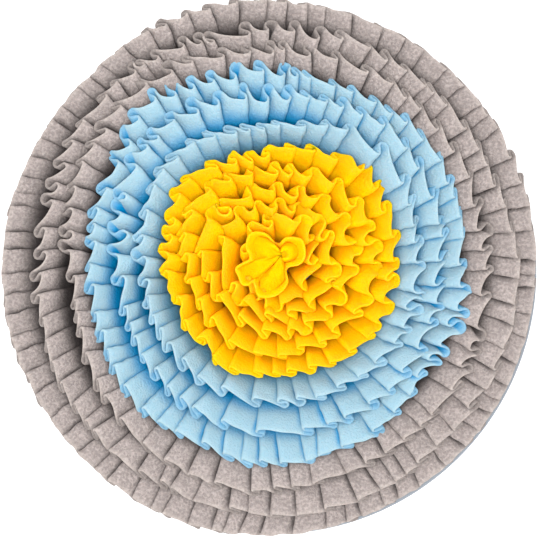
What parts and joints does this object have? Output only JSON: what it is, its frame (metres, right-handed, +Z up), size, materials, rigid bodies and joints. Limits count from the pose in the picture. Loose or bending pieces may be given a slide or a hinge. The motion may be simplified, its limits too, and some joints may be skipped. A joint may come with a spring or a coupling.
{
  "type": "snuffle mat",
  "caption": "Round snuffle mat: pleated fleece frills in rings on a cloth disc, with grooves between them that hide treats for a dog to sniff out.",
  "frame": {"origin": "middle of the underside of the backing disc, on the floor", "axes": "+Z up out of the mat, away from the floor; +X to the right and +Y away from a viewer whose near right edge has the strip of bare backing"},
  "size_m": [0.501, 0.5014, 0.0497],
  "materials": {
    "fleece_grey": "soft pilled fleece, pale warm grey",
    "fleece_blue": "soft pilled fleece, light blue",
    "fleece_yellow": "soft fleece, bright yellow",
    "backing_cloth": "plain woven cloth, slate grey"
  },
  "bodies": {
    "root": {"backing": "backing_cloth", "frill_grey_1": "fleece_grey", "frill_grey_2": "fleece_grey", "frill_grey_3": "fleece_grey", "frill_blue_1": "fleece_blue", "frill_blue_2": "fleece_blue", "frill_blue_3": "fleece_blue", "frill_yellow_1": "fleece_yellow", "frill_yellow_2": "fleece_yellow", "frill_yellow_3": "fleece_yellow", "frill_yellow_4": "fleece_yellow", "frill_yellow_5": "fleece_yellow", "frill_yellow_6": "fleece_yellow"}
  },
  "joints": []
}
